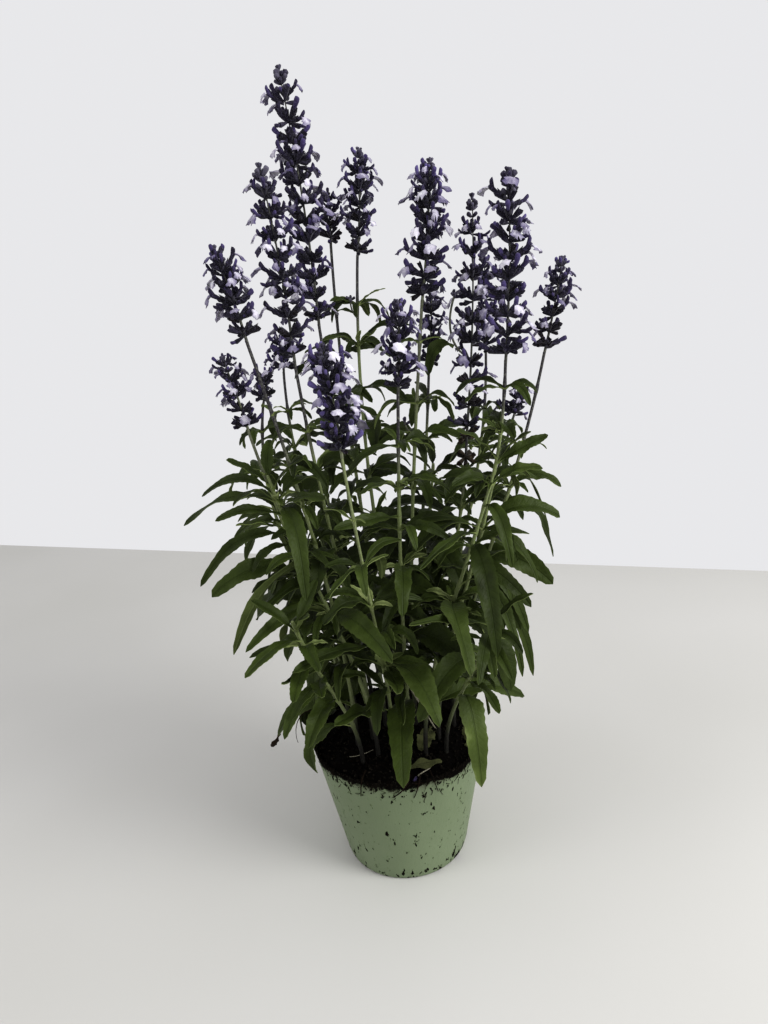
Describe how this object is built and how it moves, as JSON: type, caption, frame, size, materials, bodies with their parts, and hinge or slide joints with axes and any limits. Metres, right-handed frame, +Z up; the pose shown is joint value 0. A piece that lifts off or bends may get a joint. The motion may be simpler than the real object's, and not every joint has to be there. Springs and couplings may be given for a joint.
{
  "type": "potted mealycup sage plant",
  "caption": "Bushy sage plant in a tapered round nursery pot: drooping lance-shaped leaves in opposite pairs on square stems, and upright spikes of violet flowers in whorls.",
  "frame": {"origin": "centre of the pot's flat foot, on the surface it stands on", "axes": "+Z up through the pot, -Y towards the front of the plant, +X to the right seen from the front"},
  "size_m": [0.2886, 0.2499, 0.5935],
  "materials": {
    "pot_plastic": "matt moulded",
    "soil": "damp crumbly peat",
    "leaf": "soft matt leaf",
    "flower": "mealy felt",
    "dead_leaf": "dry and matt"
  },
  "bodies": {
    "root": {"pot": "pot_plastic", "soil": "soil", "stem_tall_left": "leaf", "stem_mid_left": "leaf", "stem_outer_left": "leaf", "stem_low_left": "leaf", "stem_back_short": "leaf", "stem_back_middle": "leaf", "stem_front": "leaf", "stem_back_left_low": "leaf", "stem_back_left": "leaf", "stem_middle_right": "leaf", "stem_front_right": "leaf", "stem_back_right": "leaf", "stem_long_right": "leaf", "stem_tall_right": "leaf", "stem_back_far_right": "leaf", "stem_outer_right": "leaf", "stem_bud_right": "leaf", "stem_shoot_left": "leaf", "stem_shoot_low_left": "leaf", "stem_shoot_right": "leaf", "stem_shoot_low_right": "leaf", "stem_shoot_back_left": "leaf", "stem_shoot_back_right": "leaf", "flowers_tall_left": "flower", "flowers_mid_left": "flower", "flowers_outer_left": "flower", "flowers_low_left": "flower", "flowers_back_short": "flower", "flowers_back_middle": "flower", "flowers_front": "flower", "flowers_back_left_low": "flower", "flowers_back_left": "flower", "flowers_middle_right": "flower", "flowers_front_right": "flower", "flowers_back_right": "flower", "flowers_long_right": "flower", "flowers_tall_right": "flower", "flowers_back_far_right": "flower", "flowers_outer_right": "flower", "flowers_bud_right": "flower", "fallen_leaf_1": "dead_leaf", "fallen_leaf_2": "dead_leaf", "fallen_leaf_3": "dead_leaf"}
  },
  "joints": []
}
